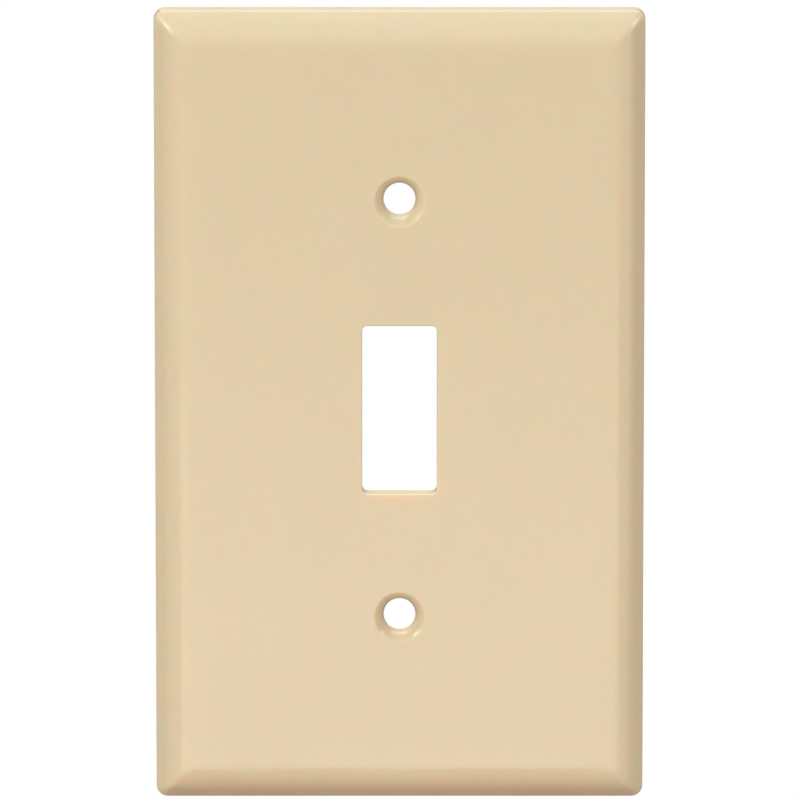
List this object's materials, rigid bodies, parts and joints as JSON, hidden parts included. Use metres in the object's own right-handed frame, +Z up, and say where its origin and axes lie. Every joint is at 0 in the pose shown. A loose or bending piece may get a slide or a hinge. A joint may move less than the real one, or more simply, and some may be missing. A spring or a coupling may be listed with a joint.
{
  "type": "toggle switch wall plate",
  "caption": "Wall plate for a toggle light switch: upright moulded plastic cover with bevelled margins, a central toggle opening and countersunk screw holes above and below it.",
  "frame": {"origin": "centre of the back, in the wall plane, midway between the screw holes", "axes": "+Z up, -Y out of the wall towards the room (the front face looks along -Y), +X to the right seen from the front"},
  "size_m": [0.0698, 0.0063, 0.1142],
  "materials": {
    "ivory_plastic": "satin-gloss ivory moulding plastic"
  },
  "bodies": {
    "root": {"wall_plate": "ivory_plastic"}
  },
  "joints": []
}
